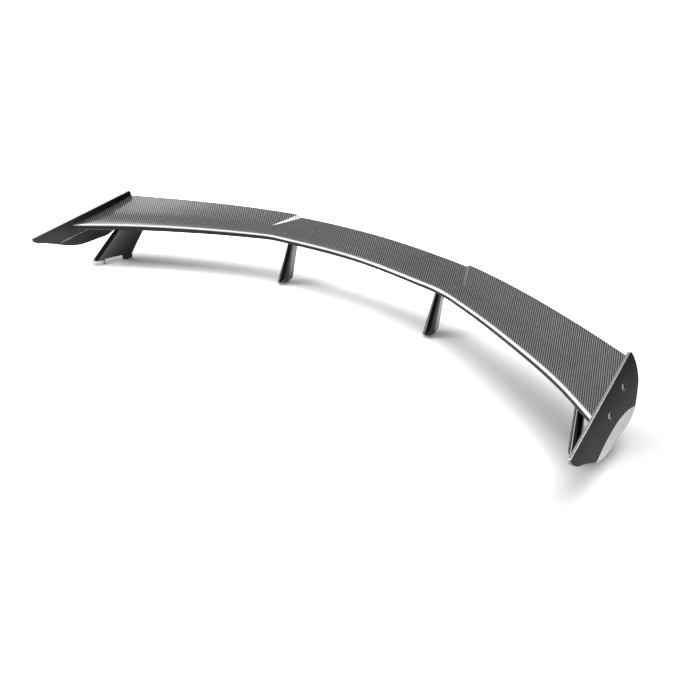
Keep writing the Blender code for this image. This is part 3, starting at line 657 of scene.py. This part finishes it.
def panelPlace(a, b):
    p = plateShape
    top, fold = route(p["top"], a), route(p["fold"], a)
    front, rear = route(p["front"], 1 - b), route(p["rear"], 1 - b)
    low = mix(Vector(p["fold"][0]), Vector(p["fold"][-1]), a)
    high = mix(Vector(p["top"][0]), Vector(p["top"][1]), a)
    return mix(fold, top, b) + mix(front, rear, a) - mix(low, high, b)


def platePoint(a, row):
    p = plateShape
    if row >= p["facetRows"]:
        spot = panelPlace(a, (row - p["facetRows"]) / p["panelRows"])
        return Vector((plateFaceX(spot.x, spot.y), spot.x, spot.y))
    fold, edge = route(p["fold"], a), route(p["edge"], a)
    spot = mix(edge, fold, row / p["facetRows"])
    return Vector((plateFaceX(fold.x, fold.y) - p["tuck"] * (fold.y - spot.y), spot.x, spot.y))


# the outer panel and facet, the two inner faces, which are both dark, then the rims; all painted reflections:
# dark on the panel and inner faces, light on the outer facet and the rims
plateFinishes = [panelCarbon, facetCarbon, panelCarbon, panelCarbon, rimCarbon, rimCarbon]


def turnedMesh(profile, steps):
    mesh = bmesh.new()
    points = [mesh.verts.new((radius, 0, height)) for radius, height in profile]
    edges = [mesh.edges.new(pair) for pair in zip(points, points[1:])]
    bmesh.ops.spin(mesh, geom=points + edges, axis=(0, 0, 1), cent=(0, 0, 0), steps=steps, angle=2 * pi,
                   use_merge=True)
    bmesh.ops.remove_doubles(mesh, verts=mesh.verts, dist=0.00001)
    bmesh.ops.recalc_face_normals(mesh, faces=mesh.faces)
    return mesh


def screwFrames(side):
    p = plateShape
    for share, drop in p["screws"]:
        high, low = sqrt(share), -sqrt(share)
        entry = mix(bladePoint(endX(high, 0), high), bladePoint(endX(low, 0), low), drop)
        spot = Vector((side * plateFaceX(entry.y, entry.z), entry.y, entry.z))
        outward = Vector((side, p["toe"], p["lean"]))
        yield Matrix.Translation(spot) @ outward.to_track_quat("Z", "Y").to_matrix().to_4x4()


def sinkScrews(piece, side):
    for place in screwFrames(side):
        mesh = turnedMesh(plateShape["sink"], plateShape["sinkSteps"])
        mesh.transform(place)
        data = bpy.data.meshes.new("sink")
        mesh.to_mesh(data)
        mesh.free()
        cutter = bpy.data.objects.new("sink", data)
        bpy.context.scene.collection.objects.link(cutter)
        cut = piece.modifiers.new("sink", "BOOLEAN")
        cut.operation = "DIFFERENCE"
        cut.solver = "EXACT"
        cut.object = cutter
        bakeModifiers(piece, 16)
        bpy.data.objects.remove(cutter)
        bpy.data.meshes.remove(data)


def makeBead(side, hand):
    # a fine bead along the inside of the fold, which the CAD plate doesn't have; its bright tone is a painted
    # highlight
    p = plateShape
    slant = Vector((side, p["toe"], p["lean"])).normalized()
    rings = []
    turns = [2 * pi * step / p["beadSides"] for step in range(p["beadSides"])]
    for a in spread(*p["beadEnds"], p["beadRings"]):
        spot = route(p["fold"], a)
        ahead = route(p["fold"], a + 0.01) - route(p["fold"], a - 0.01)
        run = Vector((0, ahead.x, ahead.y)).normalized()
        face = Vector((side * plateFaceX(spot.x, spot.y), spot.x, spot.y))
        middle = face - slant * (p["wall"] + p["beadLift"])
        other = run.cross(slant)
        size = p["bead"] * min(1.0, 0.25 + 4 * a, 0.25 + 4 * (1 - a))
        rings.append([middle + size * (cos(turn) * other + sin(turn) * slant) for turn in turns])
    mesh = tubeMesh(rings)
    finishMesh("plateBead" + hand, mesh, [beadCarbon], ["end_plate_" + hand.lower()], 60)


def makePlate(side, hand):
    p = plateShape

    def place(i, j):
        point = platePoint(i / p["columns"], j)
        return Vector((side * point.x, point.y, point.z))

    mesh = shapedGrid(p["columns"], p["facetRows"] + p["panelRows"], place)
    aimNormals(mesh, Vector((side, 0, 0)))
    weaveMap(mesh, lambda co: Vector((co.y * p["tows"], -co.z * p["tows"])))
    row = mesh.verts.layers.float["row"]
    # the facet rows take the facet's painted light reflection
    for face in mesh.faces:
        if sum(vertex[row] for vertex in face.verts) / len(face.verts) < p["facetRows"]:
            face.material_index = 1
    piece = finishMesh("endPlate" + hand, mesh, plateFinishes, ["end_plate_" + hand.lower()])
    wall = piece.modifiers.new("wall", "SOLIDIFY")
    wall.thickness = p["wall"]
    wall.offset = -1
    wall.use_even_offset = True
    wall.material_offset = 2
    wall.material_offset_rim = 4
    rounding = piece.modifiers.new("rounding", "BEVEL")
    rounding.width = p["rounding"]
    rounding.segments = 4
    rounding.limit_method = "ANGLE"
    rounding.angle_limit = radians(50)
    bakeModifiers(piece, 16)
    sinkScrews(piece, side)
    makeBead(side, hand)


for side, hand in ((-1, "Left"), (1, "Right")):
    makePlate(side, hand)
print("end plates made")


# Struts

strutShape = {
    "outerNose": (0.7320, -0.1159),
    "toe": radians(18),
    "outerLength": (0.117, 0.091),
    "outerWidth": (0.024, 0.020),
    "outerLean": 0.345,
    "outerSweep": 0.845,
    "outerSole": 0.0185,
    "outerTop": 0.112,
    "bossZ": 0.0055,
    "bossLength": 0.030,
    "bossWidth": 0.0173,
    "bossInset": 0.002,
    "centreX": 0.237,
    "centreNose": 0.1221,
    "centreLength": (0.053, 0.037),
    "centreWidth": (0.027, 0.016),
    "centreSweep": 0.43,
    "centreSole": 0.010,
    "centreTop": 0.118,
    "tailShare": 0.62,
    "noseStretch": 1.5,
    "tailStretch": 1.2,
    "topGap": 0.0012,
    "soleRounding": 0.0012,
}


def strutOutline(length, width, noseSteps=10, flankSteps=6, tailSteps=8):
    s = strutShape
    half = width / 2
    tail = half * s["tailShare"]
    noseReach = half * s["noseStretch"]
    tailReach = tail * s["tailStretch"]
    flank = []
    for k in range(noseSteps):
        turn = pi / 2 * k / noseSteps
        flank.append((noseReach * (1 - cos(turn)), half * sin(turn)))
    for k in range(flankSteps):
        t = k / flankSteps
        flank.append((mix(noseReach, length - tailReach, t), mix(half, tail, t)))
    for k in range(tailSteps + 1):
        turn = pi / 2 * k / tailSteps
        flank.append((length - tailReach * (1 - sin(turn)), tail * cos(turn)))
    return flank + [(along, -across) for along, across in reversed(flank[1:-1])]


def undersideZ(x, y):
    low, high = -1.0, -0.05
    for _ in range(24):
        middle = (low + high) / 2
        if bladePoint(x, middle).y > y:
            low = middle
        else:
            high = middle
    return bladePoint(x, low).z


def outerPlace(z, k, length=None, width=None, start=0.0, footZ=None):
    s = strutShape
    t = (z - s["outerSole"]) / (s["outerTop"] - s["outerSole"])
    rise = (z if footZ is None else footZ) - s["outerSole"]
    nose = Vector((s["outerNose"][0] - s["outerLean"] * rise, s["outerNose"][1] + s["outerSweep"] * rise))
    along = Vector((-sin(s["toe"]), cos(s["toe"])))
    across = Vector((cos(s["toe"]), sin(s["toe"])))
    a, b = strutOutline(length or mix(*s["outerLength"], t), width or mix(*s["outerWidth"], t))[k]
    spot = nose + along * (a + start) + across * b
    return Vector((spot.x, spot.y, z))


def centrePlace(z, k):
    s = strutShape
    t = (z - s["centreSole"]) / (s["centreTop"] - s["centreSole"])
    a, b = strutOutline(mix(*s["centreLength"], t), mix(*s["centreWidth"], t))[k]
    foot = s["centreSole"] - 0.002
    return Vector((s["centreX"] + b, s["centreNose"] + s["centreSweep"] * (z - foot) + a, z))


def strutMesh(place, sole, side, count):
    s = strutShape
    tops = []
    for k in range(count):
        z = s["outerTop"]
        for _ in range(5):
            spot = place(z, k)
            z = undersideZ(spot.x, spot.y) - s["topGap"]
        tops.append(z)
    rings = [[place(mix(sole, tops[k], t), k) for k in range(count)] for t in spread(0, 1, 14)]
    rim = rings[-1]
    centre = sum(rim, Vector()) / count
    for shrink in (0.75, 0.5, 0.25):
        inner = [mix(centre, point, shrink) for point in rim]
        for point in inner:
            point.z = undersideZ(point.x, point.y) - s["topGap"]
        rings.append(inner)
    mesh = tubeMesh([[Vector((side * point.x, point.y, point.z)) for point in ring] for ring in rings])
    edges = [edge for edge in mesh.edges
             if all(abs(vertex.co.z - sole) < 1e-5 for vertex in edge.verts)
             and any(abs(face.normal.z) < 0.8 for face in edge.link_faces)]
    bmesh.ops.bevel(mesh, geom=edges, offset=s["soleRounding"], offset_type="OFFSET", segments=3, profile=0.5,
                    affect="EDGES", clamp_overlap=True, material=-1)
    return mesh


def makeStruts(side, hand):
    s = strutShape
    count = len(strutOutline(0.1, 0.02))
    mesh = strutMesh(outerPlace, s["outerSole"], side, count)
    start = s["outerLength"][0] - s["bossLength"] - s["bossInset"]
    rings = []
    for z in (s["bossZ"], s["outerSole"] + 0.006):
        ring = [outerPlace(z, k, s["bossLength"], s["bossWidth"], start, s["outerSole"])
                for k in range(count)]
        rings.append([Vector((side * point.x, point.y, point.z)) for point in ring])
    boss = tubeMesh(rings)
    edges = [edge for edge in boss.edges
             if all(abs(vertex.co.z - s["bossZ"]) < 1e-5 for vertex in edge.verts)]
    bmesh.ops.bevel(boss, geom=edges, offset=s["soleRounding"], offset_type="OFFSET", segments=3, profile=0.5,
                    affect="EDGES", clamp_overlap=True, material=-1)
    data = bpy.data.meshes.new("boss")
    boss.to_mesh(data)
    boss.free()
    mesh.from_mesh(data)
    bpy.data.meshes.remove(data)
    finishMesh("strutOuter" + hand, mesh, [glossBlack], ["strut_outer_" + hand.lower()], 35)
    mesh = strutMesh(centrePlace, s["centreSole"], side, count)
    finishMesh("strutCentre" + hand, mesh, [glossBlack], ["strut_centre_" + hand.lower()], 35)


for side, hand in ((-1, "Left"), (1, "Right")):
    makeStruts(side, hand)
print("struts made")


# The pieces that keep their CAD shape get their finish here

def dressFrameNodes():
    slots = {part["node"]: part["material_slot"] for part in frame["record"]["subparts"]}
    for name, node in frame["nodes"].items():
        slotName = slots.get(name, "steel")
        # carbon pieces take the rim's tone, a painted light reflection
        if slotName == "carbon":
            material = rimCarbon
        elif "stud" in name:
            material = threaded
        else:
            material = finishes[slotName]
        if node.material_slots:
            for socket in node.material_slots:
                socket.material = material
        else:
            node.data.materials.append(material)


dressFrameNodes()
print("inner pieces and fasteners finished")


# Floor, light and camera

studio = {
    "floorHalf": 30.0,
    "floorTones": (0.95, 0.46),                   # painted shade and light: paler on the left, darker on the right for a deeper shadow
    "floorFade": (-0.2, 0.85),
    "stripSide": (-0.44, -0.24, 0.40, 0.06),      # soft edges of the overhead strip light, front and rear
    "stripEnd": (-0.99, -0.90, 0.66, 0.45),       # and its left and right ends
    "stripLow": (0.08, 0.30),
    "stripLight": 4.6,
    "boxDirection": (0.15, 0.33, 0.93),           # soft box above and a little behind
    "boxEdge": (0.935, 0.973),
    "boxLight": 11.0,
    "postSide": (0.60, -0.80, 0.0),               # a tall narrow light in front and to the left
    "postWidth": (0.15, 0.11),
    "postFront": (0.0, -0.2),
    "postTop": (0.70, 0.60),
    "postLight": 12.0,
    "glowSide": (-0.46, -0.64),                   # the sky is a little brighter on the left
    "glowLow": (0.4, 0.6),
    "glowLight": 0.10,
    "fill": ((0.0, 0.03), (0.12, 0.05), (0.45, 0.16), (0.75, 0.34), (1.0, 0.5)),   # tone by height
    "lens": 45.173,
    "cameraAt": (1.2031468, -1.3960986, 0.9765248),
    "cameraRight": (0.77569956, 0.63110237, 0.0),
    "cameraBack": (0.55409028, -0.68104258, 0.47871178),
}


def makeFloor():
    mesh = bmesh.new()
    bmesh.ops.create_grid(mesh, x_segments=4, y_segments=4, size=studio["floorHalf"])
    data = bpy.data.meshes.new("floor")
    mesh.to_mesh(data)
    mesh.free()
    floor = bpy.data.objects.new("floor", data)
    bpy.context.scene.collection.objects.link(floor)
    material, nodes, links, shader = newMaterial("paleFloor")
    spot = nodes.new("ShaderNodeSeparateXYZ")
    links.new(nodes.new("ShaderNodeTexCoord").outputs["Object"], spot.inputs["Vector"])
    # painted shade and light on the floor: paler under the left end, darker under the right
    left, right = studio["floorTones"]
    shade = rampNode(nodes, links, softEdge(nodes, links, spot.outputs["X"], *studio["floorFade"]),
                     [(0.0, grey(left)), (1.0, grey(right))])
    links.new(shade, shader.inputs["Base Color"])
    shader.inputs["Roughness"].default_value = 0.9
    shader.inputs["Specular IOR Level"].default_value = 0.1
    data.materials.append(material)


def makeSky():
    world = bpy.data.worlds.new("studio")
    bpy.context.scene.world = world
    world.use_nodes = True
    nodes, links = world.node_tree.nodes, world.node_tree.links
    background = nodes["Background"]
    direction = nodes.new("ShaderNodeTexCoord").outputs["Generated"]
    parts = nodes.new("ShaderNodeSeparateXYZ")
    links.new(direction, parts.inputs["Vector"])
    front, frontIn, rear, rearIn = studio["stripSide"]
    left, leftIn, right, rightIn = studio["stripEnd"]
    low, high = studio["stripLow"]
    edges = [("Y", front, frontIn), ("Y", rear, rearIn), ("X", left, leftIn), ("X", right, rightIn),
             ("Z", low, high)]
    strip = studio["stripLight"]
    for axis, outside, inside in edges:
        edge = softEdge(nodes, links, parts.outputs[axis], outside, inside)
        strip = mathNode(nodes, links, "MULTIPLY", edge, strip)
    stops = [(height, grey(tone)) for height, tone in studio["fill"]]
    fill = rampNode(nodes, links, parts.outputs["Z"], stops)
    toBox = nodes.new("ShaderNodeVectorMath")
    toBox.operation = "DOT_PRODUCT"
    links.new(direction, toBox.inputs[0])
    toBox.inputs[1].default_value = Vector(studio["boxDirection"]).normalized()
    outside, inside = studio["boxEdge"]
    box = softEdge(nodes, links, toBox.outputs["Value"], outside, inside)
    lights = mathNode(nodes, links, "MULTIPLY_ADD", box, studio["boxLight"], strip)
    sideways = nodes.new("ShaderNodeVectorMath")
    sideways.operation = "DOT_PRODUCT"
    links.new(direction, sideways.inputs[0])
    sideways.inputs[1].default_value = studio["postSide"]
    offCentre = mathNode(nodes, links, "ABSOLUTE", sideways.outputs["Value"])
    post = softEdge(nodes, links, offCentre, *studio["postWidth"])
    for axis, limits in (("Y", studio["postFront"]), ("Z", studio["postTop"])):
        edge = softEdge(nodes, links, parts.outputs[axis], *limits)
        post = mathNode(nodes, links, "MULTIPLY", edge, post)
    lights = mathNode(nodes, links, "MULTIPLY_ADD", post, studio["postLight"], lights)
    glow = softEdge(nodes, links, parts.outputs["X"], *studio["glowSide"])
    edge = softEdge(nodes, links, parts.outputs["Z"], *studio["glowLow"])
    glow = mathNode(nodes, links, "MULTIPLY", edge, glow)
    lights = mathNode(nodes, links, "MULTIPLY_ADD", glow, studio["glowLight"], lights)
    total = nodes.new("ShaderNodeVectorMath")
    total.operation = "ADD"
    links.new(fill, total.inputs[0])
    links.new(lights, total.inputs[1])
    links.new(total.outputs["Vector"], background.inputs["Color"])
    background.inputs["Strength"].default_value = 1.0


def makeCamera():
    right = Vector(studio["cameraRight"])
    back = Vector(studio["cameraBack"])
    up = back.cross(right)
    camera = bpy.data.cameras.new("camera")
    camera.lens = studio["lens"]
    camera.sensor_width = 36.0
    camera.clip_end = 200.0
    holder = bpy.data.objects.new("camera", camera)
    bpy.context.scene.collection.objects.link(holder)
    turn = Matrix((right, up, back)).transposed().to_4x4()
    holder.matrix_world = Matrix.Translation(studio["cameraAt"]) @ turn
    bpy.context.scene.camera = holder


makeFloor()
makeSky()
makeCamera()
bpy.context.scene.view_settings.view_transform = "Standard"
print("studio ready")
